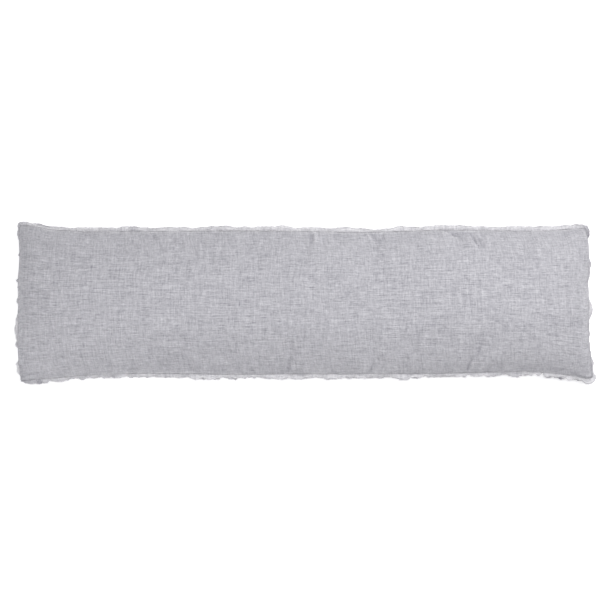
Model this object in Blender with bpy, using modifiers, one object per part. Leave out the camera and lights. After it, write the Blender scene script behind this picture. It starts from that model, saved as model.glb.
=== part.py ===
# Body pillow in a raw-edged linen cover, lying on its back on the floor.
#
# A front and a back panel are sewn together and filled. Outside the seam the margins of
# both panels stay in sight as a double raw edge, frayed at its rim. +X runs along the
# length, +Y to the far side, +Z up, and the floor is z = 0. All sizes are in metres.

import math
from collections import namedtuple

import bmesh
import bpy
import numpy as np
from mathutils import Vector, noise

# Filled pillow
HALF_LENGTH = 0.730  # middle to end seam
SEAM_HEIGHT = 0.074  # floor to the seam
SEAM_WAVER = 0.007  # how far the seam wanders up and down
WAVER_SPACING = 0.260
CORNER_DROP = 0.026  # how much lower the seam runs at the corners
CORNER_DROP_START = 6  # exponent: how late along the length that drop sets in
CROWN = 0.092  # rise of the front panel above the seam
UNDERSIDE = 0.093  # fall of the back panel below the seam, if no floor held it up
END_ROUND = 0.190  # length over which an end fills out
FULLNESS = 2.3  # exponent of the filled section: 2 is an ellipse, more is squarer
SEAM_SOFTNESS = 0.60  # 0.5 leaves the seam upright, 1 leaves it as a wedge
END_FADE = 0.150  # how far an end seam's bow reaches into the panels
LUMP_SPACING = 0.210
LUMP_RISE = 0.006
CREASE_START = 0.5  # how full the cushion is where a crease first has its whole rise

# Seam outline, a row for each station: place along the length, far seam and near seam
SeamStation = namedtuple("SeamStation", "along far near")
SEAM_STATIONS = [
    SeamStation(-0.730, 0.2005, -0.2025),
    SeamStation(-0.700, 0.1960, -0.1990),
    SeamStation(-0.655, 0.1875, -0.1955),
    SeamStation(-0.583, 0.1818, -0.1888),
    SeamStation(-0.440, 0.1811, -0.1825),
    SeamStation(-0.190, 0.1824, -0.1848),
    SeamStation(0.000, 0.1814, -0.1838),
    SeamStation(0.134, 0.1788, -0.1836),
    SeamStation(0.385, 0.1848, -0.1814),
    SeamStation(0.502, 0.1824, -0.1790),
    SeamStation(0.636, 0.1838, -0.1820),
    SeamStation(0.694, 0.1888, -0.1915),
    SeamStation(0.730, 0.1905, -0.1985),
]

# Bow of the end seams, a row for each station: share across, outward bow of each end
EndStation = namedtuple("EndStation", "across left right")
END_STATIONS = [
    EndStation(-1.00, -0.0030, 0.0130),
    EndStation(-0.80, 0.0010, 0.0080),
    EndStation(-0.55, 0.0020, 0.0005),
    EndStation(-0.30, 0.0000, -0.0030),
    EndStation(0.00, -0.0005, -0.0005),
    EndStation(0.30, 0.0005, -0.0035),
    EndStation(0.55, -0.0020, 0.0010),
    EndStation(0.80, 0.0005, 0.0010),
    EndStation(1.00, 0.0030, -0.0050),
]

# Grid spans between the ends, closer where creases lie
Spans = namedtuple("Spans", "start finish count")
MIDDLE_SPANS = [
    Spans(-0.540, -0.075, 11),
    Spans(-0.075, 0.060, 11),
    Spans(0.060, 0.140, 2),
    Spans(0.140, 0.205, 6),
    Spans(0.205, 0.350, 4),
    Spans(0.350, 0.470, 11),
    Spans(0.470, 0.540, 3),
]
END_SPANS = 9
CROSS_SPANS = 18
CROWDING = 0.75  # how strongly grid lines crowd towards a seam

# Main creases of the front panel: middle, heading from +X, half length, half width, rise
Crease = namedtuple("Crease", "x y heading reach width rise")
CREASES = [
    Crease(0.029, 0.165, 92, 0.030, 0.011, 0.0035),
    Crease(0.004, 0.168, 84, 0.024, 0.013, -0.0035),
    Crease(0.172, 0.160, -55, 0.034, 0.014, -0.0060),
    Crease(0.388, 0.164, -38, 0.046, 0.015, -0.0080),
    Crease(0.436, 0.156, -57, 0.042, 0.010, -0.0045),
    Crease(-0.041, -0.158, 88, 0.030, 0.015, -0.0060),
    Crease(0.176, -0.158, 84, 0.030, 0.017, -0.0060),
    Crease(0.428, -0.146, 74, 0.050, 0.012, -0.0080),
    Crease(0.590, -0.140, 4, 0.130, 0.034, -0.0100),
    Crease(-0.520, -0.055, 10, 0.100, 0.050, 0.0040),
    Crease(0.640, -0.028, -8, 0.085, 0.018, 0.0030),
    Crease(0.610, 0.120, -9, 0.090, 0.020, 0.0030),
]

# Raw edge: each panel's margin outside the seam, and its plies
RAW_MARGIN = 0.0127  # from the seam to the tips of the frayed locks, on average
FRAY = 0.0040  # of which the frayed locks
PLY = 0.0012  # thickness of one ply
PLY_GAP = 0.0008  # between the two plies at the seam
PLY_PARTING = math.radians(5)  # how far the plies open from each other, each way
PARTING_SPACING = 0.030
SEAM_GAP = 0.0004  # between the cushion and its raw edge
MITRE_GAP = 0.0012  # each strip stops this far along its side from the corner
CORNER_DROOP = math.radians(60)
CORNER_EASE = 0.045  # length over which a side eases into that droop
DROOP = {"far": 22, "near": 24, "left": 87, "right": 88}  # usual degrees below level
DROOP_RIPPLE = 11  # degrees
DROOP_SPACING = 0.045
STRIP_SPANS = {"far": 115, "near": 115, "left": 31, "right": 31}
SPAN_JITTER = 0.30  # share of a span by which its ends wander
LOCK_TIP = 0.38  # width of a lock's tip, as a share of its root
LOCK_UNEVENNESS = 0.7  # share of a lock's length by which locks differ
LOCK_SPACING = 1.6  # strip spans between one lock's unevenness and the next's
LOCK_LEAN = 0.35  # share of a lock's length by which its tip leans aside

# Unevenness of the rim: spacing of its waves, and their share of the margin's width
RimWave = namedtuple("RimWave", "spacing share")
RIM_WAVES = [RimWave(0.060, 0.24), RimWave(0.018, 0.20)]

# Places where a raw edge lifts or drops: side, place along that side, half width, degrees
Lift = namedtuple("Lift", "side place spread degrees")
LIFTS = [
    Lift("left", -0.065, 0.042, 46),
    Lift("left", -0.160, 0.024, 34),
    Lift("right", -0.022, 0.026, 40),
    Lift("right", -0.175, 0.030, 18),
    Lift("far", -0.660, 0.050, -14),
    Lift("near", -0.500, 0.100, -24),
    Lift("near", 0.600, 0.020, -28),
    Lift("near", 0.660, 0.035, 14),
]

# Finish
LINEN_COLOUR = (0.487, 0.482, 0.512, 1)
RAW_EDGE_COLOUR = (0.630, 0.625, 0.645, 1)
LINEN_ROUGHNESS = 0.95
SHARP_ANGLE = math.radians(60)

NOISE_OFFSET = Vector((0.31, 0.47, 0.37))  # keeps clear of the noise's zero points
SIDE_STEP = 7.3  # distance in the noise between one side's unevenness and the next's

OUTWARD = {"far": (0, 1), "near": (0, -1), "left": (-1, 0), "right": (1, 0)}
NEIGHBOURS = {
    "far": ("left", "right"),
    "near": ("left", "right"),
    "left": ("near", "far"),
    "right": ("near", "far"),
}


def uneven(*place):
    """A repeatable, smooth unevenness between -1 and 1."""
    return noise.noise(Vector(place) + NOISE_OFFSET)


def on_table(rows, column, place):
    """A column's value at a place, on one smooth curve through a table's rows."""
    places = [row[0] for row in rows]
    values = [getattr(row, column) for row in rows]
    slopes = np.gradient(values, places)
    k = int(np.clip(np.searchsorted(places, place) - 1, 0, len(places) - 2))
    span = places[k + 1] - places[k]
    t = (place - places[k]) / span
    start = (1 + 2 * t) * (1 - t) ** 2 * values[k] + t * (1 - t) ** 2 * span * slopes[k]
    finish = t * t * (3 - 2 * t) * values[k + 1] + t * t * (t - 1) * span * slopes[k + 1]
    return float(start + finish)


def crowded(share):
    """A share from 0 to 1 moved towards 0, so that grid lines crowd at a seam."""
    return (1 - CROWDING) * share + CROWDING * (1 - math.cos(share * math.pi / 2))


def length_stations():
    """Places of the grid's crosswise lines, from the left end to the right."""
    inward = [END_ROUND * crowded(k / END_SPANS) for k in range(END_SPANS)]
    left = [-HALF_LENGTH + step for step in inward]
    right = [HALF_LENGTH - step for step in reversed(inward)]
    middle = [
        spans.start + (spans.finish - spans.start) * k / spans.count
        for spans in MIDDLE_SPANS
        for k in range(spans.count)
    ]
    return [*left, *middle, MIDDLE_SPANS[-1].finish, *right]


def cross_stations():
    """Places of the grid's lengthwise lines, from -1 at the near seam to 1 at the far."""
    half = CROSS_SPANS // 2
    near = [crowded(k / half) - 1 for k in range(half + 1)]
    return [*near, *(-share for share in reversed(near[:-1]))]


def plan_point(along, across):
    """Where a place on a panel lies, seen from above, as x and y."""
    far = on_table(SEAM_STATIONS, "far", along)
    near = on_table(SEAM_STATIONS, "near", along)
    left_share = max(0, 1 - (along + HALF_LENGTH) / END_FADE) ** 2
    right_share = max(0, 1 - (HALF_LENGTH - along) / END_FADE) ** 2
    x = along - left_share * on_table(END_STATIONS, "left", across)
    x += right_share * on_table(END_STATIONS, "right", across)
    return x, near + (far - near) * (across + 1) / 2


def seam_height(along, across):
    """Height of the level at which the two panels meet: lower towards the corners."""
    drop = CORNER_DROP * abs(along / HALF_LENGTH) ** CORNER_DROP_START * across**2
    return SEAM_HEIGHT - drop + SEAM_WAVER * uneven(along / WAVER_SPACING, across, 0)


def filled(along, across):
    """How full the cushion is at a place: 0 at the seam, 1 over the crown."""
    inward = min(1, (HALF_LENGTH - abs(along)) / END_ROUND)
    end_share = max(0, 1 - (1 - inward) ** FULLNESS) ** SEAM_SOFTNESS
    side_share = max(0, 1 - abs(across) ** FULLNESS) ** SEAM_SOFTNESS
    return end_share * side_share


def crease_rise(x, y):
    """How far the creases lift the front panel at a point, or lower it."""
    total = 0
    for crease in CREASES:
        turn = math.radians(crease.heading)
        off_x, off_y = x - crease.x, y - crease.y
        lengthwise = (off_x * math.cos(turn) + off_y * math.sin(turn)) / crease.reach
        crosswise = (off_y * math.cos(turn) - off_x * math.sin(turn)) / crease.width
        total += crease.rise * math.exp(-(lengthwise**2) - crosswise**2)
    return total


def front_point(along, across):
    x, y = plan_point(along, across)
    share = filled(along, across)
    lumps = LUMP_RISE * uneven(x / LUMP_SPACING, y / LUMP_SPACING, 0)
    z = seam_height(along, across) + share * (CROWN + lumps)
    return x, y, z + crease_rise(x, y) * min(1, share / CREASE_START)


def back_point(along, across):
    x, y = plan_point(along, across)
    return x, y, max(0, seam_height(along, across) - UNDERSIDE * filled(along, across))


def seam_point(along, across):
    return Vector((*plan_point(along, across), seam_height(along, across)))


def linen(name, colour):
    material = bpy.data.materials.new(name)
    material.use_nodes = True
    shader = material.node_tree.nodes["Principled BSDF"]
    shader.inputs["Base Color"].default_value = colour
    shader.inputs["Roughness"].default_value = LINEN_ROUGHNESS
    shader.inputs["Metallic"].default_value = 0
    return material


def add_piece(name, work, material, origin):
    """Makes the modelled shape an object of its own, parented to the pillow's origin."""
    mesh = bpy.data.meshes.new(name)
    work.to_mesh(mesh)
    work.free()
    mesh.materials.append(material)
    mesh.shade_smooth()
    mesh.set_sharp_from_angle(angle=SHARP_ANGLE)
    piece = bpy.data.objects.new(name, mesh)
    origin.users_collection[0].objects.link(piece)
    piece.parent = origin
    return piece


def add_grid(work, columns, rows):
    """A new flat grid's vertices, each with its column and row number."""
    made = bmesh.ops.create_grid(work, x_segments=columns - 1, y_segments=rows - 1, size=1)
    numbered = {}
    for vertex in made["verts"]:
        column = round((vertex.co.x + 1) / 2 * (columns - 1))
        row = round((vertex.co.y + 1) / 2 * (rows - 1))
        numbered[vertex] = (column, row)
    return numbered


def add_panel(work, point_of):
    """Lays a grid over a panel's places and moves it to the panel's shape."""
    along, across = length_stations(), cross_stations()
    numbered = add_grid(work, len(along), len(across))
    for vertex, (i, j) in numbered.items():
        vertex.co = point_of(along[i], across[j])
    return list(numbered)


def make_cushion(material, origin):
    """The filled cushion: two panels that meet at the seam, flat where it rests."""
    work = bmesh.new()
    add_panel(work, front_point)
    back = add_panel(work, back_point)
    back_faces = list({face for vertex in back for face in vertex.link_faces})
    bmesh.ops.reverse_faces(work, faces=back_faces)
    bmesh.ops.remove_doubles(work, verts=work.verts, dist=1e-5)
    resting = [face for face in work.faces if all(v.co.z == 0 for v in face.verts)]
    bmesh.ops.dissolve_faces(work, faces=resting, use_verts=True)
    return add_piece("cushion", work, material, origin)


def side_seam(side):
    """Points along one side's seam, a little unevenly spaced, corners included."""
    along, across = length_stations(), cross_stations()
    if side in ("left", "right"):
        end = along[0] if side == "left" else along[-1]
        corners = [seam_point(end, share) for share in across]
    else:
        share = 1 if side == "far" else -1
        corners = [seam_point(place, share) for place in along]
    steps = [(b - a).length for a, b in zip(corners, corners[1:])]
    distances = np.concatenate(([0], np.cumsum(steps)))
    count = STRIP_SPANS[side]
    pitch = distances[-1] / count
    wanted = [pitch * (k + SPAN_JITTER * ripple(side, k, LOCK_SPACING)) for k in range(1, count)]
    wanted = [0, *wanted, distances[-1]]
    columns = [np.interp(wanted, distances, [c[axis] for c in corners]) for axis in range(3)]
    return [Vector(point) for point in zip(*columns)]


def ripple(side, place, spacing, pattern=0):
    """One of several patterns of unevenness along a side, between -1 and 1."""
    return uneven(place / spacing, SIDE_STEP * list(OUTWARD).index(side), pattern)


def outward_normals(side):
    """The level direction away from the cushion at each point of a side's seam."""
    seam = side_seam(side)
    normals = []
    for k in range(len(seam)):
        tangent = seam[min(k + 1, len(seam) - 1)] - seam[max(k - 1, 0)]
        normal = Vector((-tangent.y, tangent.x, 0)).normalized()
        normals.append(normal if normal.dot(Vector((*OUTWARD[side], 0))) > 0 else -normal)
    return normals


def mitre_direction(side, end):
    """The diagonal where a side ends, as long as it takes to stay 1 from the seam."""
    neighbour = NEIGHBOURS[side][end]
    neighbour_end = NEIGHBOURS[neighbour].index(side)
    own = outward_normals(side)[-end]
    other = outward_normals(neighbour)[-neighbour_end]
    diagonal = (own + other).normalized()
    return diagonal / diagonal.dot(own)


def droop_at(side, place, corner_share):
    """How steeply the raw edge hangs: its usual droop, eased to one value at corners."""
    degrees = DROOP[side] + DROOP_RIPPLE * ripple(side, place, DROOP_SPACING)
    for lift in LIFTS:
        if lift.side == side:
            degrees -= lift.degrees * math.exp(-(((place - lift.place) / lift.spread) ** 2))
    return corner_share * CORNER_DROOP + (1 - corner_share) * math.radians(degrees)


def ply_rows(side, ply):
    """Root and rim points of one ply along one side, with its outward direction."""
    seam = side_seam(side)
    directions = outward_normals(side)
    directions[0] = mitre_direction(side, 0)
    directions[-1] = mitre_direction(side, 1)
    seam[0] += MITRE_GAP * (seam[1] - seam[0]).normalized()
    seam[-1] += MITRE_GAP * (seam[-2] - seam[-1]).normalized()
    is_front = ply == "front"
    lengthwise = 0 if side in ("far", "near") else 1
    rows = []
    for point, direction in zip(seam, directions):
        place = point[lengthwise]
        to_corner = min((point - seam[0]).length, (point - seam[-1]).length)
        corner_share = max(0, 1 - to_corner / CORNER_EASE) ** 2
        parting = PLY_PARTING * (1 + ripple(side, place, PARTING_SPACING, 1))
        droop = droop_at(side, place, corner_share)
        droop += (1 - corner_share) * (-parting if is_front else parting)
        waves = sum(wave.share * ripple(side, place, wave.spacing, 2 + is_front) for wave in RIM_WAVES)
        reach = (RAW_MARGIN - FRAY) * (1 + (1 - corner_share) * waves)
        outward = direction * math.cos(droop) - Vector((0, 0, math.sin(droop)))
        above = direction * math.sin(droop) + Vector((0, 0, math.cos(droop)))
        root = point + direction * (SEAM_GAP + (PLY + PLY_GAP / 2) * math.sin(droop))
        root += above * (PLY + PLY_GAP) / 2 * (1 if is_front else -1)
        rows.append((root, root + outward * reach, outward))
    return rows


def draw_out_lock(work, edge, outward, length, lean):
    """Draws one rim edge out into a frayed lock that narrows and leans to its tip."""
    middle = sum((v.co for v in edge.verts), Vector()) / 2
    sideways = (edge.verts[1].co - edge.verts[0].co).normalized()
    made = bmesh.ops.extrude_edge_only(work, edges=[edge])["geom"]
    for vertex in (item for item in made if isinstance(item, bmesh.types.BMVert)):
        narrowed = middle + (vertex.co - middle) * LOCK_TIP
        vertex.co = narrowed + outward * length + sideways * lean


def make_ply(side, ply, material, origin):
    """One ply of the raw edge along one side: a thin sheet, frayed at its rim."""
    rows = ply_rows(side, ply)
    work = bmesh.new()
    numbered = add_grid(work, len(rows), 2)
    for vertex, (k, is_rim) in numbered.items():
        vertex.co = rows[k][is_rim]
    rim = {}
    for edge in work.edges:
        first, second = (numbered[vertex] for vertex in edge.verts)
        if first[1] and second[1]:
            rim[min(first[0], second[0])] = edge
    first_lock = 2 if ply == "front" else 1
    for number in range(first_lock, len(rows) - 2, 2):
        length = FRAY * (1 + LOCK_UNEVENNESS * ripple(side, number, LOCK_SPACING, 4))
        lean = LOCK_LEAN * length * ripple(side, number, LOCK_SPACING, 5)
        draw_out_lock(work, rim[number], rows[number][2], length, lean)
    piece = add_piece(f"{ply}_ply_{side}", work, material, origin)
    cloth = piece.modifiers.new("cloth thickness", "SOLIDIFY")
    cloth.thickness = PLY
    cloth.offset = 0


def centre_over_origin(origin):
    """Moves the pillow so that its box is centred over the origin, on the floor."""
    bpy.context.view_layer.update()
    graph = bpy.context.evaluated_depsgraph_get()
    corners = np.array(
        [Vector(c) for piece in origin.children for c in piece.evaluated_get(graph).bound_box]
    )
    middle = (corners.min(axis=0) + corners.max(axis=0)) / 2
    origin.location = (-middle[0], -middle[1], 0)


def main():
    for leftover in list(bpy.data.objects):
        bpy.data.objects.remove(leftover)
    collection = bpy.data.collections.new("body_pillow")
    bpy.context.scene.collection.children.link(collection)
    origin = bpy.data.objects.new("pillow_origin", None)
    collection.objects.link(origin)
    make_cushion(linen("slubbed_linen", LINEN_COLOUR), origin)
    raw_linen = linen("frayed_linen", RAW_EDGE_COLOUR)
    for ply in ("front", "back"):
        for side in OUTWARD:
            make_ply(side, ply, raw_linen, origin)
    centre_over_origin(origin)


main()
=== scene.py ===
import math
import random

import bmesh
import bpy
import numpy as np
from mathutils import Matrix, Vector, noise
from mathutils.bvhtree import BVHTree
from mathutils.kdtree import KDTree


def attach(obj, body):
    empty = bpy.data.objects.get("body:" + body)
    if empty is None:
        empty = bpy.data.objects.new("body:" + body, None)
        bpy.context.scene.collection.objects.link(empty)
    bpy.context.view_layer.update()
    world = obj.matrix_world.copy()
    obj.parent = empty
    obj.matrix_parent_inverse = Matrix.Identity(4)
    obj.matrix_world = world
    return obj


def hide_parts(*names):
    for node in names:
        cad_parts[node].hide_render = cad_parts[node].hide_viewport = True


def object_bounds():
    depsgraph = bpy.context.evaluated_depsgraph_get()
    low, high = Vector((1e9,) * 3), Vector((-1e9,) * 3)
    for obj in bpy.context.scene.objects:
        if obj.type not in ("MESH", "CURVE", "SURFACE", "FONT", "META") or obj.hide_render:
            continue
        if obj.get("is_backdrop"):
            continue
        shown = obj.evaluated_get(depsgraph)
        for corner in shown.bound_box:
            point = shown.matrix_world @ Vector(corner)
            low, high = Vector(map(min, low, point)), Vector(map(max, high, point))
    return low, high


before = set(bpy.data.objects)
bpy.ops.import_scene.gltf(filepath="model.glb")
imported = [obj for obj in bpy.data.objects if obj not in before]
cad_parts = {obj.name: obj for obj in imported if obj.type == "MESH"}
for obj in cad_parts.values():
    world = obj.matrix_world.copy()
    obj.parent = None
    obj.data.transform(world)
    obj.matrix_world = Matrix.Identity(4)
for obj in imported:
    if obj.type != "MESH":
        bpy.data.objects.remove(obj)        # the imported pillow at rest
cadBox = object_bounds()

# Body pillow in washed, slubby linen with frayed raw seam margins. Lengths are in metres.
random.seed(7)
chance = np.random.default_rng(7)


def linear(hexCode):
    # an sRGB hex value as the linear colour that shaders take
    parts = [int(hexCode[k:k + 2], 16) / 255 for k in (1, 3, 5)]
    shades = [c / 12.92 if c <= 0.04045 else ((c + 0.055) / 1.055) ** 2.4 for c in parts]
    return (*shades, 1.0)


def uneven(*place):
    # smooth, repeatable unevenness between about -1 and 1, moved off the points where noise is zero
    return noise.noise(Vector(place) + Vector((0.31, 0.47, 0.37)))


# Finishes

def newMaterial(name):
    material = bpy.data.materials.new(name)
    material.use_nodes = True
    material.node_tree.nodes.clear()
    return material


def addNode(tree, kind, inputs=None, **settings):
    # one node with its settings; an input takes a value or a socket to link from
    node = tree.nodes.new("ShaderNode" + kind)
    for name, value in settings.items():
        setattr(node, name, value)
    for name, value in (inputs or {}).items():
        socket = node.inputs[name]
        if settings.get("data_type") == "RGBA" and name in ("A", "B"):
            socket = next(s for s in node.inputs if s.name == name and s.type == "RGBA")
        if isinstance(value, bpy.types.NodeSocket):
            tree.links.new(value, socket)
        else:
            socket.default_value = value
    return node


def streaks(tree, cloth, alongMm, acrossMm, seed, detail):
    # noise drawn out along the cloth's length by alongMm and across it by acrossMm, 0 to 1
    spread = addNode(tree, "Mapping", {
        "Vector": cloth,
        "Location": (seed * 3.7, seed * 1.9, 0.0),  # each seed reads another part of the noise
        "Scale": (1000 / alongMm, 1000 / acrossMm, 1.0),
    })
    grain = addNode(tree, "TexNoise", {
        "Vector": spread.outputs[0], "Scale": 1.0, "Detail": detail, "Roughness": 0.55,
    }, noise_dimensions="2D")
    return grain.outputs[0]


# The real yarns are 0.7 mm apart, too fine to show at 2.6 mm a pixel, so they are drawn
# coarser. A row: mm along, mm across, detail, noise from and to, tone from and to, relief.
linenYarns = {
    "weftLong": (110.0, 2.4, 1.0, 0.30, 0.70, -0.118, 0.118, 0.6),
    "weft": (36.0, 2.3, 2.0, 0.30, 0.70, -0.120, 0.120, 0.7),
    "weftShort": (16.0, 2.3, 2.0, 0.30, 0.70, -0.138, 0.138, 0.5),
    "warpLong": (4.6, 60.0, 2.0, 0.30, 0.70, -0.070, 0.070, 0.5),
    "warp": (4.4, 22.0, 2.0, 0.30, 0.70, -0.075, 0.075, 0.6),
    "warpFine": (2.4, 22.0, 1.0, 0.30, 0.70, -0.090, 0.090, 0.6),
    "thickWarp": (7.0, 110.0, 1.0, 0.30, 0.70, -0.036, 0.036, 0.3),
    "nubs": (4.5, 4.5, 1.0, 0.30, 0.70, -0.080, 0.080, 0.4),
    "mottle": (52.0, 34.0, 2.0, 0.30, 0.70, -0.020, 0.020, 0.0),
    "darkSlub": (32.0, 2.7, 1.0, 0.66, 0.80, 0.0, -0.400, 0.9),
    "darkSlubUp": (2.8, 26.0, 1.0, 0.69, 0.82, 0.0, -0.260, 0.9),
    "lightSlub": (28.0, 2.7, 1.0, 0.67, 0.81, 0.0, 0.240, 0.9),
}
linenFinish = {
    "light": "#d2d1d6",         # undyed weft
    "dark": "#8e8d95",          # slate warp
    "lightYarnWornAndLit": "#f7f6f8",     # the same yarns paler: rubbed and bleached at the raw edge, and painted light along the seam, on crease ridges and through the thin margin
    "darkYarnWornAndLit": "#bfbec4",
    "base": 0.56,               # share of the light yarn in the even cloth
    "weaveDepth": 0.0009,
    "weaveRelief": 0.7,         # share of that depth that shows
    "crumpleDepth": 0.0040,
    "crumpleRelief": 0.8,
    "crumpleMm": (24.0, 20.0),  # along and across
    "roughness": 0.92,
    "sheen": 0.12,
    "sheenRoughness": 0.6,
    "specular": 0.25,
}
rawEdgeFinish = {**linenFinish, "weaveDepth": 0.0012, "crumpleMm": (9.0, 6.0)}


def slubbedLinen(name, finish):
    # washed plain-weave linen, yarn-dyed: matt, heathered, with thick slubs in both directions.
    # A point attribute makes it paler: painted light along the seam and through the thin raw edge,
    # which is also frayed and bleached there; below zero it deepens it as painted shade in a crease.
    material = newMaterial(name)
    tree = material.node_tree
    cloth = addNode(tree, "UVMap", uv_map="cloth").outputs[0]
    tone, relief = finish["base"], 0.0
    for seed, row in enumerate(linenYarns.values(), start=1):
        along, across, detail, fromLow, fromHigh, toLow, toHigh, depth = row
        grain = streaks(tree, cloth, along, across, seed, detail)
        shade = addNode(tree, "MapRange", {
            "Value": grain,
            "From Min": fromLow, "From Max": fromHigh,
            "To Min": toLow, "To Max": toHigh,
        }, clamp=fromLow > 0.5)  # a slub adds nothing where there is none
        tone = addNode(tree, "Math", {0: shade.outputs[0], 1: tone}, operation="ADD").outputs[0]
        if depth:
            raised = addNode(tree, "Math", {0: grain, 1: depth, 2: relief}, operation="MULTIPLY_ADD")
            relief = raised.outputs[0]
    # painted light and shade, with some real fraying and bleaching, carried by this attribute
    wearAndPaintedLight = addNode(tree, "Attribute", attribute_name="wearAndPaintedLight").outputs["Fac"]
    shades = [
        addNode(tree, "Mix", {
            "Factor": wearAndPaintedLight, "A": linear(finish[whole]), "B": linear(finish[faded]),
        }, data_type="RGBA", clamp_factor=False).outputs[2]
        for whole, faded in (("dark", "darkYarnWornAndLit"), ("light", "lightYarnWornAndLit"))
    ]
    colour = addNode(tree, "Mix", {
        "Factor": tone, "A": shades[0], "B": shades[1],
    }, data_type="RGBA", clamp_factor=True)
    weave = addNode(tree, "Bump", {
        "Strength": finish["weaveRelief"], "Distance": finish["weaveDepth"], "Height": relief,
    })
    crumple = streaks(tree, cloth, *finish["crumpleMm"], seed=20, detail=3.0)
    bump = addNode(tree, "Bump", {
        "Strength": finish["crumpleRelief"], "Distance": finish["crumpleDepth"],
        "Height": crumple, "Normal": weave.outputs[0],
    })
    shader = addNode(tree, "BsdfPrincipled", {
        "Base Color": colour.outputs[2],
        "Roughness": finish["roughness"],
        "Sheen Weight": finish["sheen"],
        "Sheen Roughness": finish["sheenRoughness"],
        "Specular IOR Level": finish["specular"],
        "Normal": bump.outputs[0],
    })
    addNode(tree, "OutputMaterial", {"Surface": shader.outputs[0]}).is_active_output = True
    return material


threadFinish = {
    "light": "#eceaec",         # bleached linen yarn
    "dark": "#bebdc2",
    "hairMm": 2.6,
    "hairDepth": 0.0002,
    "hairRelief": 0.5,
    "roughness": 0.9,
    "sheen": 0.2,
    "specular": 0.25,
}


def linenThread(name, finish):
    # loose linen yarn: pale, matt, hairy and a little uneven along each thread
    material = newMaterial(name)
    tree = material.node_tree
    place = addNode(tree, "TexCoord").outputs["Object"]
    grain = addNode(tree, "TexNoise", {
        "Vector": place, "Scale": 1000 / finish["hairMm"], "Detail": 2.0, "Roughness": 0.6,
    }).outputs[0]
    share = addNode(tree, "MapRange", {
        "Value": grain, "From Min": 0.3, "From Max": 0.7,
    }).outputs[0]
    colour = addNode(tree, "Mix", {
        "Factor": share, "A": linear(finish["dark"]), "B": linear(finish["light"]),
    }, data_type="RGBA", clamp_factor=True)
    bump = addNode(tree, "Bump", {
        "Strength": finish["hairRelief"], "Distance": finish["hairDepth"], "Height": grain,
    })
    shader = addNode(tree, "BsdfPrincipled", {
        "Base Color": colour.outputs[2],
        "Roughness": finish["roughness"],
        "Sheen Weight": finish["sheen"],
        "Specular IOR Level": finish["specular"],
        "Normal": bump.outputs[0],
    })
    addNode(tree, "OutputMaterial", {"Surface": shader.outputs[0]}).is_active_output = True
    return material


coverLinen = slubbedLinen("washed_slub_linen", linenFinish)
marginLinen = slubbedLinen("raw_edge_linen", rawEdgeFinish)
looseYarn = linenThread("frayed_linen_yarn", threadFinish)
print("finishes ready")


# What every piece uses

def newPiece(name, mesh):
    piece = bpy.data.objects.new(name, mesh)
    bpy.context.scene.collection.objects.link(piece)
    return piece


def meshPiece(name, work):
    # a finished bmesh as an object
    mesh = bpy.data.meshes.new(name)
    work.to_mesh(mesh)
    work.free()
    return newPiece(name, mesh)


def evaluatedMesh(piece):
    # the mesh that its modifiers or its bevel give
    graph = bpy.context.evaluated_depsgraph_get()
    return bpy.data.meshes.new_from_object(piece.evaluated_get(graph))


def unit(vector):
    return vector / np.linalg.norm(vector)


# The cushion's seam, read from the frame

def readCushion():
    work = bmesh.new()
    work.from_mesh(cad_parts["cushion"].data)
    bmesh.ops.remove_doubles(work, verts=work.verts, dist=1e-5)
    work.normal_update()
    return work


def readSides(work):
    # the rim lies between faces that look up and faces that look down; it is cut at its corners
    nextTo = {}
    for edge in work.edges:
        up = [face.normal.z > 0 for face in edge.link_faces]
        if len(up) == 2 and up[0] != up[1]:
            first, second = edge.verts
            nextTo.setdefault(first, []).append(second)
            nextTo.setdefault(second, []).append(first)
    start = min(nextTo, key=lambda v: v.co.x + v.co.y)
    loop = [start, max(nextTo[start], key=lambda v: v.co.x)]
    while True:
        onward = [v for v in nextTo[loop[-1]] if v is not loop[-2]]
        if onward[0] is start:
            break
        loop.append(onward[0])
    nearRight = loop.index(max(loop, key=lambda v: v.co.x - v.co.y))
    farRight = loop.index(max(loop, key=lambda v: v.co.x + v.co.y))
    farLeft = loop.index(min(loop, key=lambda v: v.co.x - v.co.y))
    places = np.array([v.co[:] for v in loop])
    return {
        "near": places[:nearRight + 1],
        "right": places[nearRight:farRight + 1],
        "far": places[farRight:farLeft + 1][::-1],
        "left": np.vstack((places[farLeft:], places[:1]))[::-1],
    }


def lineLength(points):
    return np.concatenate(([0], np.cumsum(np.linalg.norm(np.diff(points, axis=0), axis=1))))


def smoothCurve(points, shares):
    # places at those shares of a line's length, on a smooth curve through its points
    distance = lineLength(points)
    slopes = np.gradient(points, distance, axis=0)
    wanted = np.asarray(shares) * distance[-1]
    k = np.clip(np.searchsorted(distance, wanted) - 1, 0, len(points) - 2)
    span = (distance[k + 1] - distance[k])[:, None]
    t = (wanted - distance[k])[:, None] / span
    start = (1 + 2 * t) * (1 - t) ** 2 * points[k] + t * (1 - t) ** 2 * span * slopes[k]
    finish = t * t * (3 - 2 * t) * points[k + 1] + t * t * (t - 1) * span * slopes[k + 1]
    return start + finish


cushionMesh = readCushion()
sides = readSides(cushionMesh)
cushionShape = BVHTree.FromBMesh(cushionMesh)
print("seam read:", {side: len(points) for side, points in sides.items()})


# The filled cover

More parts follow.
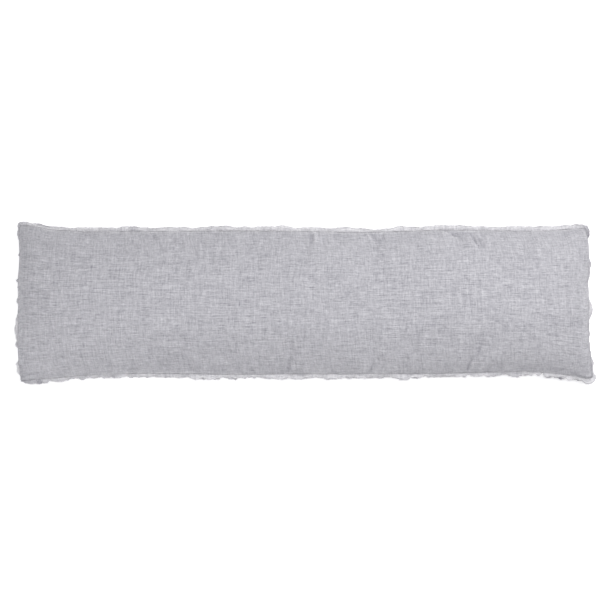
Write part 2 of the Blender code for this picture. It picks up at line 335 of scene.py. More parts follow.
cover = {
    "cell": (0.0062, 0.0088),   # mesh size in the simulation, along and across
    "rays": 801,                # that measure the filled panel each way
    "cutFrom": ((0.0, 0.0), (0.37, 0.9)),  # where front and back lie on the uncut cloth
    "start": 0.93,              # fullness before the filling presses out
    "pressure": 4.0,
    "spareCloth": 0.010,        # share of the cloth that is left to wrinkle
    "stiffness": 20.0,
    "bending": 0.6,
    "weight": 0.3,
    "quality": 5,               # steps a frame
    "frames": 20,
    "cap": 0.011,               # most that a point may move
    "held": 0.012,              # creases fade out over this distance to the seam
    "pressed": (0.0005, 0.006),  # flat on the floor up to this height, free this much higher
    "washCrumple": 0.0007,
    "crumpleSize": (0.034, 0.090),
    "seamPaintedLight": 0.85,           # painted light: how much paler the cloth is along the seam, against the shade in its groove
    "endPaintedLight": 0.15,            # the same at the two short ends
    "endFrom": (0.70, 0.02),    # where those start, from the middle, and the way they take
    "wearReach": 0.0045,
    "wearPatch": (0.016, 0.9),  # size of its patches, and how far they vary it
    "creaseLightAndShade": 0.40,         # painted light and rubbing: paler on a sharp ridge; painted shade: deeper in a sharp trough
    "creaseLightAndShadeMost": 0.5,
}

# Creases from the seams' middle: x, y, heading from +X, half length, half width, rise
creases = [
    (0.029, 0.168, 92, 0.020, 0.0038, 0.0034),
    (0.021, 0.169, 88, 0.018, 0.0036, -0.0020),
    (0.037, 0.169, 97, 0.016, 0.0036, -0.0016),
    (0.166, 0.166, -50, 0.018, 0.0042, 0.0030),
    (0.180, 0.168, -44, 0.018, 0.0060, -0.0036),
    (0.200, 0.166, -80, 0.018, 0.0050, -0.0016),
    (0.374, 0.168, -30, 0.032, 0.0044, 0.0034),
    (0.392, 0.172, -22, 0.028, 0.0070, -0.0046),
    (0.410, 0.178, -6, 0.016, 0.0044, -0.0034),
    (0.420, 0.156, -60, 0.016, 0.0050, 0.0020),
    (0.433, 0.162, -66, 0.022, 0.0026, -0.0030),
    (0.438, 0.160, -66, 0.022, 0.0026, 0.0020),
    (0.445, 0.153, -66, 0.016, 0.0026, -0.0026),
    (-0.040, -0.166, 80, 0.018, 0.0044, -0.0028),
    (-0.026, -0.168, 96, 0.014, 0.0040, 0.0016),
    (0.172, -0.164, 78, 0.018, 0.0044, -0.0028),
    (0.186, -0.168, 60, 0.014, 0.0040, 0.0016),
    (0.440, -0.122, 68, 0.018, 0.0038, -0.0018),
    (0.448, -0.124, 70, 0.016, 0.0040, 0.0014),
    (0.424, -0.146, 72, 0.014, 0.0034, -0.0020),
    (0.417, -0.163, 86, 0.014, 0.0038, -0.0034),
    (0.428, -0.158, 74, 0.012, 0.0034, 0.0016),
    (0.404, -0.166, 70, 0.010, 0.0034, -0.0016),
    (0.392, -0.158, 10, 0.012, 0.0034, -0.0012),
    (0.440, -0.170, 60, 0.016, 0.0040, -0.0020),
    (0.452, -0.160, 40, 0.014, 0.0040, 0.0016),
    (0.470, -0.168, 70, 0.016, 0.0042, -0.0018),
    (0.500, -0.172, 96, 0.012, 0.0042, -0.0018),
    (0.530, -0.166, 74, 0.016, 0.0044, 0.0012),
    (0.560, -0.172, 84, 0.014, 0.0046, -0.0022),
    (0.330, -0.150, 0, 0.330, 0.0360, 0.0044),
    (0.560, -0.120, 2, 0.120, 0.0240, 0.0022),
    (0.600, -0.168, -2, 0.110, 0.0090, -0.0022),
    (-0.320, -0.146, 0, 0.110, 0.0340, -0.0030),
    (0.640, 0.116, -9, 0.060, 0.0050, 0.0012),
    (0.646, 0.104, -6, 0.050, 0.0046, -0.0012),
    (0.620, -0.024, -6, 0.080, 0.0054, 0.0013),
    (0.640, -0.040, -4, 0.070, 0.0050, -0.0013),
    (0.690, 0.180, 14, 0.030, 0.0040, -0.0020),
    (0.722, 0.172, -70, 0.016, 0.0036, 0.0020),
    (0.700, -0.186, -24, 0.030, 0.0044, -0.0020),
    (-0.700, -0.184, 3, 0.024, 0.0030, -0.0014),
    (-0.704, -0.192, 3, 0.022, 0.0030, 0.0012),
    (-0.690, -0.176, 12, 0.030, 0.0036, 0.0010),
    (-0.690, 0.022, 4, 0.030, 0.0060, -0.0009),
    (-0.560, -0.050, 8, 0.060, 0.0090, 0.0010),
]
pucker = {
    "spacing": 0.024,
    "reach": (0.010, 0.030),
    "width": (0.0032, 0.0065),
    "depth": (0.0004, 0.0016),
    "lean": 28,                 # degrees to either side of straight in
    "inward": 0.7,              # its middle, as a share of its reach from the seam
    "signs": (-1, -1, 1),       # two in three are troughs
}


def measurePanel(axis):
    # distances over the middle of the filled front panel, and the places where they fall
    low, high = cadBox
    middle = (low + high) / 2
    span = sides["near"][[0, -1], 0] if axis == 0 else sides["left"][[0, -1], 1]
    places, heights = [], []
    for share in np.linspace(0, 1, cover["rays"])[1:-1]:
        spot = Vector((middle[0], middle[1], 1))
        spot[axis] = span[0] + (span[1] - span[0]) * share
        hit = cushionShape.ray_cast(spot, Vector((0, 0, -1)))[0]
        if hit is not None:
            places.append(spot[axis])
            heights.append(hit.z)
    return lineLength(np.column_stack((places, heights))), places


def clothShares(measured, cell):
    # shares of the plan at which equal steps over the panel fall
    distance, places = measured
    count = round(distance[-1] / cell)
    even = np.interp(np.linspace(0, distance[-1], count + 1), distance, places)
    return (even - even[0]) / (even[-1] - even[0])


def layPanel(work, rise, along, across, clothSize, cutFrom):
    # one panel: a grid over the seam's plan, raised or lowered to the cushion's surface
    near, far = smoothCurve(sides["near"], along), smoothCurve(sides["far"], along)
    left, right = smoothCurve(sides["left"], across), smoothCurve(sides["right"], across)
    columns, rows = len(along), len(across)
    made = bmesh.ops.create_grid(work, x_segments=columns - 1, y_segments=rows - 1, size=1)
    uvLayer = work.loops.layers.uv["cloth"]
    seamDistance = work.verts.layers.float["fromSeam"]
    pins = work.verts.layers.deform[0]
    clothPlace = {}
    for vertex in made["verts"]:
        i = round((vertex.co.x + 1) / 2 * (columns - 1))
        j = round((vertex.co.y + 1) / 2 * (rows - 1))
        u, v = along[i], across[j]
        edges = (1 - v) * near[i] + v * far[i] + (1 - u) * left[j] + u * right[j]
        ends = (1 - u) * ((1 - v) * near[0] + v * far[0]) + u * ((1 - v) * near[-1] + v * far[-1])
        spot = Vector(edges - ends)
        if 0 < i < columns - 1 and 0 < j < rows - 1:
            away = Vector((spot.x, spot.y, 1.0 if rise > 0 else -1.0))
            hit = cushionShape.ray_cast(away, Vector((0, 0, -away.z)))[0]
            if hit is not None:
                spot.z += (hit.z - spot.z) * cover["start"]
        else:
            vertex[pins][0] = 1.0
        vertex.co = spot
        clothPlace[vertex] = Vector((
            i / (columns - 1) * clothSize[0],
            j / (rows - 1) * clothSize[1],
        ))
        vertex[seamDistance] = min(
            min(i, columns - 1 - i) / (columns - 1) * clothSize[0],
            min(j, rows - 1 - j) / (rows - 1) * clothSize[1],
        )
    faces = list({face for vertex in made["verts"] for face in vertex.link_faces})
    for face in faces:
        for loop in face.loops:
            loop[uvLayer].uv = clothPlace[loop.vert] + Vector(cutFrom)
    if rise < 0:
        bmesh.ops.reverse_faces(work, faces=faces)


def layCover():
    # both panels, joined at the seam, which the simulation holds and the subdivision keeps sharp
    measured = [measurePanel(axis) for axis in (0, 1)]
    size = [distance[-1] for distance, _ in measured]
    along, across = (clothShares(*pair) for pair in zip(measured, cover["cell"]))
    work = bmesh.new()
    work.verts.layers.float.new("fromSeam")
    work.loops.layers.uv.new("cloth")
    work.verts.layers.deform.new("pins")
    work.edges.layers.float.new("crease_edge")
    for rise, cutFrom in zip((1, -1), cover["cutFrom"]):
        layPanel(work, rise, along, across, size, cutFrom)
    bmesh.ops.remove_doubles(work, verts=work.verts, dist=1e-6)
    crease = work.edges.layers.float["crease_edge"]
    pins = work.verts.layers.deform[0]
    for edge in work.edges:
        if all(0 in vertex[pins] for vertex in edge.verts):
            edge[crease] = 1.0
    piece = meshPiece("linenCover", work)
    piece.vertex_groups.new(name="seam")
    print(f"cover laid: {len(piece.data.vertices)} points, {size[0]:.3f} by {size[1]:.3f} m of cloth")
    return piece


def vertexPlaces(mesh):
    flat = np.empty(len(mesh.vertices) * 3, np.float32)
    mesh.vertices.foreach_get("co", flat)
    return flat.reshape(-1, 3).astype(float)


def placeVertices(mesh, places):
    mesh.vertices.foreach_set("co", np.ascontiguousarray(places, np.float32).ravel())
    mesh.update()


def fillCover(piece):
    # the filling presses the cloth out from a slightly slack start, with the seam held
    start = vertexPlaces(piece.data)
    cloth = piece.modifiers.new("filling", "CLOTH")
    cloth.settings.quality = cover["quality"]
    cloth.settings.mass = cover["weight"]
    cloth.settings.tension_stiffness = cover["stiffness"]
    cloth.settings.compression_stiffness = cover["stiffness"]
    cloth.settings.shear_stiffness = cover["stiffness"] / 3
    cloth.settings.bending_stiffness = cover["bending"]
    cloth.settings.use_pressure = True
    cloth.settings.uniform_pressure_force = cover["pressure"]
    cloth.settings.effector_weights.gravity = 0
    cloth.settings.vertex_group_mass = "seam"
    cloth.settings.shrink_min = -cover["spareCloth"]
    cloth.collision_settings.use_collision = False
    scene = bpy.context.scene
    cloth.point_cache.frame_start = 1
    cloth.point_cache.frame_end = cover["frames"]
    for number in range(1, cover["frames"] + 1):
        scene.frame_set(number)
    evaluated = piece.evaluated_get(bpy.context.evaluated_depsgraph_get())
    settled = vertexPlaces(evaluated.data)
    piece.modifiers.remove(cloth)
    scene.frame_set(1)
    moved = settled - start
    distance = np.linalg.norm(moved, axis=1)
    average, most = distance.mean() * 1000, distance.max() * 1000
    print(f"filling moved the cloth {average:.1f} mm, at most {most:.1f} mm before the cap")
    moved *= np.minimum(1, cover["cap"] / np.maximum(distance, 1e-9))[:, None]
    settled = start + moved
    settled[:, 2] = np.maximum(settled[:, 2], 0)
    placeVertices(piece.data, settled)


def refine(piece):
    # one subdivision, which keeps the seam sharp
    finer = piece.modifiers.new("finer cloth", "SUBSURF")
    finer.levels = finer.render_levels = 1
    mesh = evaluatedMesh(piece)
    piece.modifiers.remove(finer)
    old, piece.data = piece.data, mesh
    bpy.data.meshes.remove(old)
    mesh.name = piece.name


def vertexNormals(mesh):
    flat = np.empty(len(mesh.vertices) * 3, np.float32)
    mesh.vertex_normals.foreach_get("vector", flat)
    return flat.reshape(-1, 3).astype(float)


def crumpleCover(piece):
    # creases pulled at the seam, small puckers all along it and the soft crumple of washing, with
    # painted light along the seam and painted light and shade on sharp creases
    mesh = piece.data
    places, normals = vertexPlaces(mesh), vertexNormals(mesh)
    fromSeam = np.empty(len(mesh.vertices), np.float32)
    mesh.attributes["fromSeam"].data.foreach_get("value", fromSeam)
    front = normals[:, 2] > 0
    rise, creaseShading = np.zeros(len(places)), np.zeros(len(places))
    faded = 2.6                 # half lengths and half widths out, a crease has run out

    def addCrease(x, y, heading, reach, width, height, side):
        turn = math.radians(heading)
        offX, offY = places[:, 0] - x, places[:, 1] - y
        lengthwise = (offX * math.cos(turn) + offY * math.sin(turn)) / reach
        crosswise = (offY * math.cos(turn) - offX * math.sin(turn)) / width
        close = side & (np.abs(lengthwise) < faded) & (np.abs(crosswise) < faded)
        shape = np.exp(-lengthwise[close] ** 2 - crosswise[close] ** 2)
        rise[close] += height * shape
        # painted light on a sharp ridge and painted shade in a sharp trough, stronger the sharper it
        # is
        creaseShading[close] += cover["creaseLightAndShade"] * height / width * shape

    for x, y, heading, reach, width, height in creases:
        addCrease(x + seamMiddle[0], y + seamMiddle[1], heading, reach, width, height, front)
    for side, points in sides.items():
        length = lineLength(points)[-1]
        count = round(length / pucker["spacing"])
        spots = smoothCurve(points, (np.arange(count) + chance.uniform(0.1, 0.9, count)) / count)
        ahead = np.diff(smoothCurve(points, np.arange(count + 1) / count), axis=0)
        for spot, onward in zip(spots, ahead):
            for panel in (front, ~front):
                reach = chance.uniform(*pucker["reach"])
                heading = math.degrees(math.atan2(onward[1], onward[0])) + 90
                heading += chance.normal(0, pucker["lean"])
                inward = np.array((math.cos(math.radians(heading)), math.sin(math.radians(heading))))
                if inward @ (np.array(seamMiddle[:2]) - spot[:2]) < 0:
                    inward = -inward
                place = spot[:2] + inward * reach * pucker["inward"]
                height = chance.uniform(*pucker["depth"]) * chance.choice(pucker["signs"])
                width = chance.uniform(*pucker["width"])
                addCrease(place[0], place[1], heading, reach, width, height, panel)
    small, large = cover["crumpleSize"]
    crumple = np.array([
        noise.fractal(Vector(p) / small, 0.9, 2.1, 3) + 0.8 * noise.noise(Vector(p) / large)
        for p in places
    ])
    rise += cover["washCrumple"] * crumple
    flatUpTo, easedOver = cover["pressed"]
    free = np.clip(fromSeam / cover["held"], 0, 1)
    resting = np.clip((places[:, 2] - flatUpTo) / easedOver, 0, 1)
    places += normals * (rise * free * resting)[:, None]
    places[:, 2] = np.maximum(places[:, 2], 0)
    placeVertices(mesh, places)
    # painted light: paler along the seam, broken into patches, to lift the shade of its groove
    patchSize, patchShare = cover["wearPatch"]
    patches = np.array([noise.noise(Vector(p) / patchSize) for p in places])
    endStart, endWay = cover["endFrom"]
    nearEnd = np.clip((np.abs(places[:, 0] - seamMiddle[0]) - endStart) / endWay, 0, 1)
    amount = cover["seamPaintedLight"] + (cover["endPaintedLight"] - cover["seamPaintedLight"]) * nearEnd
    edge = amount * np.exp(-fromSeam / cover["wearReach"]) * (1 + patchShare * patches)
    creaseShading = np.clip(creaseShading, -cover["creaseLightAndShadeMost"], cover["creaseLightAndShadeMost"])
    wearAndPaintedLight = mesh.attributes.new("wearAndPaintedLight", "FLOAT", "POINT")
    wearAndPaintedLight.data.foreach_set("value", (edge + creaseShading).astype(np.float32))


def sideMiddle(side):
    return smoothCurve(sides[side], [0.5])[0]


# halfway between the end seams and between the long seams
seamMiddle = (
    (sideMiddle("left")[0] + sideMiddle("right")[0]) / 2,
    (sideMiddle("far")[1] + sideMiddle("near")[1]) / 2,
    sides["near"][:, 2].mean(),
)
linenCover = layCover()
fillCover(linenCover)
refine(linenCover)
crumpleCover(linenCover)
linenCover.data.materials.append(coverLinen)
linenCover.data.shade_smooth()
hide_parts("cushion")
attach(linenCover, "root")
print("cover filled:", len(linenCover.data.polygons), "faces")


# The raw seam margins

margin = {
    "pitch": 0.0024,            # mesh size along the seam
    "rows": 6,
    "woven": 0.0106,            # what is still woven of the 12.7 mm margin
    "thickness": 0.0005,
    "cutFrom": {"front": 3.0, "back": 4.0},  # where its cloth lies on the uncut cloth
    "seamGap": 0.0002,          # from the seam's line to its first row
    "plyGap": 0.0003,
    "foldFrom": 0.006,          # how far out the frame's strips tell how they hang
    "ruffle": (0.40, 0.26),     # radians, over long and short waves
    "ruffleSpacing": (0.027, 0.0105),
    "curl": 0.8,
    "curlSpacing": (0.034, 0.012),
    "bend": (-0.9, 1.75),       # least and most that it hangs, in radians below level
    "ragged": {                 # share by which its width varies
        "far": 0.18, "near": 0.44, "left": 0.16, "right": 0.08,
    },
    "raggedSpacing": (0.013, 0.0052),
    "frontShort": 0.08,         # the front ply's rim stays back by this share
    "shortSpacing": 0.030,      # and varies by this share over this length
    "shortVaries": 1.6,
    "steep": (1.2, 0.25),       # radians below level from which it is tucked, and the way there
    "tuck": 9,                  # degrees by which a margin that hangs straight down leans in
    "wear": (0.42, 0.90),       # at the seam and at the rim, paler outward from fraying and from painted light shining through the thin cloth
    "wearPatches": 0.30,
    "patchSpacing": (0.022, 0.008),
}
plyUp = {"front": 1, "back": -1}

# In these three tables a last number that is missing is the one before it.
# Where the rim stands out or is torn back: place along the side, half length, front, back
rimBumps = {
    "far": [
        (-0.660, 0.046, -0.0042, 0.0004),
        (-0.450, 0.026, 0.0026), (-0.373, 0.010, -0.0018), (-0.281, 0.012, -0.0032),
        (-0.214, 0.026, 0.0026), (-0.173, 0.008, -0.0032), (-0.153, 0.008, 0.0014),
        (-0.053, 0.020, 0.0040), (-0.020, 0.009, -0.0042), (0.062, 0.018, -0.0026),
        (0.106, 0.016, 0.0032), (0.185, 0.030, -0.0046), (0.246, 0.008, 0.0024),
        (0.298, 0.009, -0.0034), (0.359, 0.028, 0.0022), (0.400, 0.005, 0.0034),
        (0.482, 0.009, -0.0020), (0.584, 0.050, 0.0022),
    ],
    "near": [
        (-0.727, 0.005, -0.0034), (-0.706, 0.012, 0.0010), (-0.694, 0.003, -0.0030),
        (-0.679, 0.007, -0.0096, 0.0046), (-0.662, 0.005, 0.0026),
        (-0.648, 0.008, -0.0042), (-0.622, 0.012, 0.0026), (-0.583, 0.008, -0.0024),
        (-0.522, 0.012, -0.0028), (-0.501, 0.004, 0.0042), (-0.404, 0.028, -0.0020),
        (-0.358, 0.010, -0.0026), (-0.260, 0.036, 0.0020), (-0.132, 0.020, -0.0026),
        (-0.071, 0.020, 0.0022), (-0.004, 0.016, 0.0028), (0.024, 0.005, -0.0026),
        (0.062, 0.020, 0.0034), (0.257, 0.014, 0.0038), (0.349, 0.034, -0.0024),
        (0.420, 0.006, -0.0050), (0.461, 0.009, -0.0026), (0.513, 0.011, -0.0048),
        (0.543, 0.010, 0.0014), (0.584, 0.020, -0.0026), (0.612, 0.0034, -0.0088),
        (0.625, 0.007, 0.0030), (0.656, 0.013, -0.0032, 0.0008),
    ],
    "left": [(-0.090, 0.008, 0.0010), (-0.165, 0.008, 0.0010), (-0.194, 0.008, -0.0040)],
    "right": [(-0.018, 0.016, 0.0008)],
}

# Where the margins hang otherwise than the solid strips: place, half length, degrees down
rimDrops = {
    "far": [(0.732, 0.010, 24), (0.700, 0.020, -14)],
    "near": [
        (-0.728, 0.005, 34, 28), (-0.679, 0.006, 46, -8), (0.650, 0.016, 10), (0.742, 0.012, -24),
    ],
    "left": [
        (0.000, 0.400, 24, 12), (0.198, 0.006, -6, -4), (0.172, 0.014, -38, -32),
        (0.122, 0.004, -24, -18), (0.057, 0.004, -26, -20), (0.040, 0.004, -24, -18),
        (0.004, 0.008, -34, -26), (-0.044, 0.006, -20, -16), (-0.072, 0.020, -34, -22),
        (-0.108, 0.007, -28, -22), (-0.158, 0.006, -24, -18), (-0.176, 0.008, -22, -16),
    ],
    "right": [
        (0.000, 0.400, 24, 12), (0.180, 0.016, -40, -34), (0.076, 0.044, -34, -28),
        (-0.022, 0.018, -26, -20), (-0.086, 0.026, -26, -20), (-0.150, 0.024, -16, -10),
        (-0.196, 0.012, -44, -38),
    ],
}

# Where the cut edge is paler or darker, its deepest spots painted shade where a ply lies in a
# shadowed fold: place, half length, change in front and at the back
wearSpots = {
    "far": [
        (-0.740, 0.020, -1.1, -1.1), (-0.664, 0.050, 0.5, -0.8), (-0.440, 0.008, -0.4, 0.0),
        (0.728, 0.014, -0.7, -0.7),
        (0.000, 0.300, 0.1, 0.1), (0.240, 0.300, 0.1, 0.1), (0.480, 0.140, -0.12, -0.12),
    ],
    "near": [
        (-0.725, 0.034, -1.0, -1.0), (-0.679, 0.008, -0.6, -1.6), (-0.560, 0.090, -0.2, -0.3),
        (0.500, 0.080, -0.25, -0.25), (0.656, 0.022, 0.1, -1.3), (0.715, 0.030, 0.2, -0.6),
    ],
    "left": [
        (0.000, 0.400, -0.4, -0.4), (0.006, 0.008, 0.4, 0.4), (-0.066, 0.026, 0.6, 0.6),
        (-0.165, 0.012, 0.6, 0.6),
    ],
    "right": [(0.000, 0.400, -0.4, -0.4), (-0.018, 0.018, 0.5, 0.5), (0.160, 0.050, -0.6, -0.6)],
}


def seamStations():
    # points round the whole seam, the level direction away from the cushion at each, and the
    # number at which each side starts, with the count of all last
    points, away = [], []
    for side, backwards in (("near", False), ("right", False), ("far", True), ("left", True)):
        line = sides[side][::-1] if backwards else sides[side]
        count = round(lineLength(line)[-1] / margin["pitch"])
        fine = smoothCurve(line, np.linspace(0, 1, count + 1))
        tangent = np.gradient(fine, axis=0)
        normal = np.column_stack((tangent[:, 1], -tangent[:, 0], np.zeros(len(fine))))
        normal /= np.linalg.norm(normal, axis=1)[:, None]
        points.append(fine)
        away.append(normal)
    ring, outward, starts = [], [], [0]
    for k in range(4):
        mitre = unit(away[k][0] + away[k - 1][-1])
        mitre /= mitre @ away[k][0]
        ring.append(points[k][:-1])
        outward.append(np.vstack((mitre[None], away[k][1:-1])))
        starts.append(starts[-1] + len(ring[k]))
    return np.vstack(ring), np.vstack(outward), starts


def readFolds(ply):
    # how steeply the frame's strip hangs at each station, in radians below level
    finder = KDTree(len(stations))
    for k, point in enumerate(stations):
        finder.insert(point, k)
    finder.balance()
    sums, counts = np.zeros(len(stations)), np.zeros(len(stations))
    for side in sides:
        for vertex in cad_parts[f"{ply}_ply_{side}"].data.vertices:
            _, k, _ = finder.find(vertex.co)
            offset = np.array(vertex.co) - stations[k]
            out = offset @ directions[k] / np.linalg.norm(directions[k])
            if math.hypot(out, offset[2]) > margin["foldFrom"]:
                sums[k] += math.atan2(-offset[2], out)
                counts[k] += 1
    known = np.flatnonzero(counts)
    count = len(stations)
    droop = np.interp(np.arange(count), known, sums[known] / counts[known], period=count)
    smooth = np.ones(5) / 5     # over five stations
    return np.convolve(np.pad(droop, 2, mode="wrap"), smooth, "valid")


def ringWave(spacing, seed):
    # unevenness round the ring
    return np.array([uneven(p[0] / spacing, p[1] / spacing, seed) for p in stations])


def ringWaves(spacings, seeds, second):
    # long waves, and short ones in the share that second gives
    return ringWave(spacings[0], seeds[0]) + second * ringWave(spacings[1], seeds[1])


def spotsAlong(table, ply):
    # the sum of a table's soft spots at each station
    total = np.zeros(len(stations))
    for number, side in enumerate(sides):
        part = slice(sideStarts[number], sideStarts[number + 1])
        axis = 0 if side in ("near", "far") else 1
        place = stations[part, axis] - seamMiddle[axis]
        for middle, half, *changes in table[side]:
            change = changes[0] if ply == "front" else changes[-1]
            total[part] += change * np.exp(-((place - middle) / half) ** 2)
    return total


def rimReach(ply):
    # how wide the margin is at each station, with its bumps, tears and small raggedness
    up = plyUp[ply]
    ragged = ringWaves(margin["raggedSpacing"], (11 + up, 14 + up), 0.8)
    share = np.repeat([margin["ragged"][side] for side in sides], np.diff(sideStarts))
    reach = margin["woven"] * (1 + share * ragged)
    if ply == "front":
        varied = 1 + margin["shortVaries"] * ringWave(margin["shortSpacing"], 19)
        reach -= margin["woven"] * margin["frontShort"] * varied
    return reach + spotsAlong(rimBumps, ply)


def marginRows(ply):
    # points from the seam to the rim at each station, hanging as the frame's strip does
    up = plyUp[ply]
    hang = readFolds(ply)
    steepFrom, steepWay = margin["steep"]
    hang += math.radians(margin["tuck"]) * np.clip((hang - steepFrom) / steepWay, 0, 1)
    hang += np.radians(spotsAlong(rimDrops, ply))
    freedom = 0.25 + 0.75 * np.cos(np.clip(hang, 0, math.pi / 2))  # least where it hangs straight
    droop = hang.copy()
    for amount, spacing in zip(margin["ruffle"], margin["ruffleSpacing"]):
        droop += amount * freedom * ringWaves((spacing, spacing), (1.3, 5.1 + up), 0.6)
    curl = margin["curl"] * freedom * ringWaves(margin["curlSpacing"], (8.2 + up, 9.4 + up), 0.5)
    reach = rimReach(ply)
    root = stations + directions * margin["seamGap"]
    root[:, 2] += up * margin["plyGap"]
    rows = [root]
    steps = margin["rows"] - 1
    for j in range(steps):
        angle = np.clip(droop + curl * (j / steps) ** 2, *margin["bend"])
        step = directions * np.cos(angle)[:, None]
        step[:, 2] -= np.sin(angle)
        rows.append(rows[-1] + step * (reach / steps)[:, None])
    return np.array(rows)


def marginWearAndLight(ply):
    # how pale each point is: paler towards the cut edge, in patches, from fraying and from painted
    # light through the thin cloth; the spots add painted shade where a ply lies in shadow
    up = plyUp[ply]
    waves = ringWaves(margin["patchSpacing"], (41 + up, 45 + up), 0.8)
    patches = margin["wearPatches"] * waves
    outward = np.linspace(*margin["wear"], margin["rows"])[:, None]
    return np.clip(outward + (patches + spotsAlong(wearSpots, ply))[None], -0.5, 1)


def makeMargin(ply, rows, wear):
    # one ply's strip round the whole seam, as a thin cloth
    columns = len(stations)
    work = bmesh.new()
    uvLayer = work.loops.layers.uv.new("cloth")
    wearAndLightLayer = work.verts.layers.float.new("wearAndPaintedLight")
    made = bmesh.ops.create_grid(work, x_segments=columns, y_segments=margin["rows"] - 1, size=1)
    spots = {}
    for vertex in made["verts"]:
        i = round((vertex.co.x + 1) / 2 * columns)
        j = round((vertex.co.y + 1) / 2 * (margin["rows"] - 1))
        spots[vertex] = (i, j)
        vertex.co = rows[j, i % columns]
        vertex[wearAndLightLayer] = wear[j, i % columns]
    for face in work.faces:
        for loop in face.loops:
            i, j = spots[loop.vert]
            along, across = i * margin["pitch"], j * margin["woven"] / (margin["rows"] - 1)
            loop[uvLayer].uv = (along, across + margin["cutFrom"][ply])
    bmesh.ops.remove_doubles(work, verts=work.verts, dist=1e-6)
    if ply == "front":
        bmesh.ops.reverse_faces(work, faces=work.faces)
    piece = meshPiece(ply + "Margin", work)
    piece.data.shade_smooth()
    piece.data.materials.append(marginLinen)
    wall = piece.modifiers.new("cloth thickness", "SOLIDIFY")
    wall.thickness = margin["thickness"]
    wall.offset = 0
    return piece


# Loose threads at the rim, and the stitches

fray = {
    "spacing": 0.00085,         # between threads, as they were woven
    "radius": 0.00021,
    "root": (0.55, 1.0),        # where it leaves the weave, as a share of the margin's width
    "pastRim": 0.0024,          # how far its tip stands out
    "lengthSpread": 0.45,
    "lengthChance": 0.6,        # against 0.9 for the tuft it is in
    "tuft": 0.011,              # threads lean together in tufts about this far apart
    "wisp": 0.004,              # and in smaller ones within them
    "lean": 0.8,
    "leanSpread": 0.16,
    "bow": 1.6,                 # how much of its lean it has gained at its tip
    "drop": (0.10, 0.22),       # middle and spread
    "points": 4,
}
longThreads = {
    "count": 46,                # on each ply
    "length": (0.03, 0.14),
    "radius": 0.00017,
    "wander": (0.00044, 0.00352),  # most that each strays from the rim
    "strays": (5.0, 1.2),       # stations a wave, and how much it varies the way out
    "lifts": (6.0, 0.0015),     # stations a wave, and its height
}
stitch = {
    "pitch": 0.0030,
    "length": 0.0024,
    "radius": 0.00026,
    "outward": 0.0011,          # from the seam
    "height": (0.00010, 0.00048),  # above the margin at its ends and between them
}


def threadPiece(name, paths, radius):
    # many thin threads as one mesh
    curve = bpy.data.curves.new(name, "CURVE")
    curve.dimensions = "3D"
    curve.bevel_depth = radius
    curve.bevel_resolution = 0
    curve.use_fill_caps = True
    for path in paths:
        spline = curve.splines.new("POLY")
        spline.points.add(len(path) - 1)
        places = np.column_stack((path, np.ones(len(path)))).astype(np.float32)
        spline.points.foreach_set("co", places.ravel())
    tube = newPiece(name, curve)
    mesh = evaluatedMesh(tube)
    bpy.data.objects.remove(tube)
    work = bmesh.new()
    work.from_mesh(mesh)
    bmesh.ops.remove_doubles(work, verts=work.verts, dist=1e-7)
    bmesh.ops.recalc_face_normals(work, faces=work.faces)
    work.to_mesh(mesh)
    work.free()
    mesh.name = name
    mesh.materials.clear()
    mesh.materials.append(looseYarn)
    mesh.shade_smooth()
    return newPiece(name, mesh)


def betweenStations(row, where):
    # a place on one of the margin's rows, between two stations
    i, part = int(where) % len(row), where - int(where)
    return row[i] * (1 - part) + row[(i + 1) % len(row)] * part


def frayPaths(rows):
    # threads that run out past the rim, leaning together in uneven tufts
    columns = rows.shape[1]
    perStation = margin["pitch"] / fray["spacing"]
    paths = []
    for number in range(int(columns * perStation)):
        where = number / perStation
        i = int(where) % columns
        depth = random.uniform(*fray["root"]) * (margin["rows"] - 1)
        j = min(int(depth), margin["rows"] - 2)
        low, high, rim = (betweenStations(rows[k], where) for k in (j, j + 1, -1))
        root = low + (high - low) * (depth - j)
        outward = unit(high - low)
        sideways = unit(rows[-1, (i + 1) % columns] - rows[-1, i])
        tuft = uneven(root[0] / fray["tuft"], root[1] / fray["tuft"], 21)
        tuftLean = uneven(root[0] / fray["tuft"], root[1] / fray["tuft"], 27)
        wisp = uneven(root[0] / fray["wisp"], root[1] / fray["wisp"], 23)
        varied = 0.9 * tuft + random.uniform(-fray["lengthChance"], fray["lengthChance"])
        length = np.linalg.norm(rim - root) + fray["pastRim"]
        length *= 1 + fray["lengthSpread"] * varied
        lean = fray["lean"] * (tuftLean + 0.5 * wisp) + random.gauss(0, fray["leanSpread"])
        drop = random.gauss(*fray["drop"])
        path = [root]
        for k in range(1, fray["points"]):
            share = k / (fray["points"] - 1)
            bowed = sideways * lean * share * fray["bow"]
            heading = unit(outward + bowed + np.array((0, 0, -drop * share)))
            path.append(path[-1] + heading * length / (fray["points"] - 1))
        paths.append(np.array(path))
    return paths


def longPaths(rows):
    # threads pulled loose from the rim that trail along it
    columns = rows.shape[1]
    strayWave, strayShare = longThreads["strays"]
    liftWave, liftHeight = longThreads["lifts"]
    paths = []
    for number in range(longThreads["count"]):
        first = random.randrange(columns)
        count = int(random.uniform(*longThreads["length"]) / margin["pitch"])
        most = random.uniform(*longThreads["wander"])
        path = []
        for k in range(count):
            i = (first + k) % columns
            rim = rows[-1, i]
            ease = math.sin(math.pi * k / (count - 1))
            away = most * ease * (1 + strayShare * uneven(k / strayWave, number, 31))
            lift = liftHeight * uneven(k / liftWave, number, 35)
            path.append(rim + unit(rim - rows[-2, i]) * away + np.array((0, 0, lift)))
        paths.append(np.array(path))
    return paths


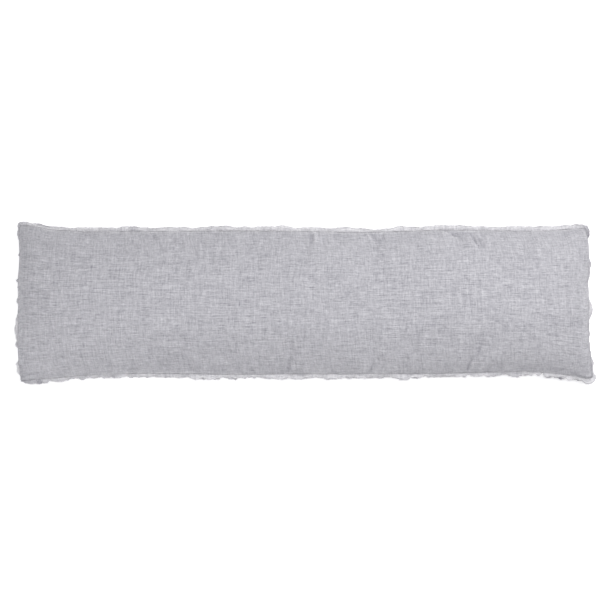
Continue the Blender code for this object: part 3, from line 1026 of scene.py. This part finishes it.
def stitchPaths(rows, up):
    # a running stitch beside the seam
    columns = rows.shape[1]
    count = int(columns * margin["pitch"] / stitch["pitch"])
    half = stitch["length"] / 2 / margin["pitch"]
    low, high = stitch["height"]
    paths = []
    for number in range(count):
        where = number * columns / count
        path = []
        for offset, height in ((-half, low), (-half / 2, high), (half / 2, high), (half, low)):
            spot = (where + offset) % columns
            root, outer = (betweenStations(rows[j], spot) for j in (0, 1))
            outward = unit(outer - root) * stitch["outward"]
            path.append(root + outward + np.array((0, 0, up * height)))
        paths.append(np.array(path))
    return paths


stations, directions, sideStarts = seamStations()
for ply, up in plyUp.items():
    rows = marginRows(ply)
    strip = makeMargin(ply, rows, marginWearAndLight(ply))
    loose = threadPiece(ply + "Fray", frayPaths(rows), fray["radius"])
    trailing = threadPiece(ply + "LongThreads", longPaths(rows), longThreads["radius"])
    stitches = threadPiece(ply + "Stitches", stitchPaths(rows, up), stitch["radius"])
    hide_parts(*(f"{ply}_ply_{side}" for side in sides))
    for piece in (strip, loose, trailing, stitches):
        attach(piece, "root")
    print(ply, "margin made")


# Floor, light and camera

studio = {
    "floor": "#f7f7f7",
    "floorSize": 24,            # half its width
    "floorDrop": 0.0003,        # below the pillow's underside
    "floorGlow": 0.55,          # light from below, which leaves only a faint shadow
    "sky": "#f5f5f7",
    "skyStrength": 0.284,
    "lamps": {                  # place, size, watts
        "key": ((1.2, 0.8, 2.8), 2.0, 79.0),
        "fill": ((-1.5, -1.3, 1.6), 2.0, 11.4),
        "leftFill": ((-2.2, -0.6, 1.4), 1.6, 9.0),
    },
    "cameraHeight": 4.0,        # above the seam
    "widthSeen": 1.536,         # at the seam's level
    "aimX": -0.0096,            # from the seam's middle
    "aimY": 0.0070,
}


def makeFloor():
    work = bmesh.new()
    bmesh.ops.create_grid(work, x_segments=1, y_segments=1, size=studio["floorSize"])
    bmesh.ops.translate(work, verts=work.verts, vec=(0, 0, -studio["floorDrop"]))
    floor = meshPiece("floor", work)
    material = newMaterial("white_paper_sweep")
    tree = material.node_tree
    shader = addNode(tree, "BsdfPrincipled", {
        "Base Color": linear(studio["floor"]),
        "Roughness": 0.95,
        "Specular IOR Level": 0.1,
        "Emission Color": linear(studio["floor"]),
        "Emission Strength": studio["floorGlow"],
    })
    addNode(tree, "OutputMaterial", {"Surface": shader.outputs[0]}).is_active_output = True
    floor.data.materials.append(material)
    floor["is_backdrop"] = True


def makeLight():
    world = bpy.data.worlds.new("studio_sky")
    world.use_nodes = True
    background = world.node_tree.nodes["Background"]
    background.inputs["Color"].default_value = linear(studio["sky"])
    background.inputs["Strength"].default_value = studio["skyStrength"]
    bpy.context.scene.world = world
    for name, (place, size, watts) in studio["lamps"].items():
        lamp = bpy.data.lights.new(name, "AREA")
        lamp.shape = "SQUARE"
        lamp.size = size
        lamp.energy = watts
        light = newPiece(name, lamp)
        light.location = place
        light.rotation_euler = (-light.location).to_track_quat("-Z", "Y").to_euler()


def makeCamera():
    data = bpy.data.cameras.new("photo_camera")
    data.lens = data.sensor_width * studio["cameraHeight"] / studio["widthSeen"]
    camera = newPiece("photo_camera", data)
    camera.location = (
        seamMiddle[0] + studio["aimX"],
        seamMiddle[1] + studio["aimY"],
        seamMiddle[2] + studio["cameraHeight"],
    )
    bpy.context.scene.camera = camera
    bpy.context.scene.view_settings.view_transform = "Standard"


makeFloor()
makeLight()
makeCamera()

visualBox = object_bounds()
growth = [*(cadBox[0] - visualBox[0]), *(visualBox[1] - cadBox[1])]
print("box grows by", [round(float(g) * 1000, 1) for g in growth], "mm")
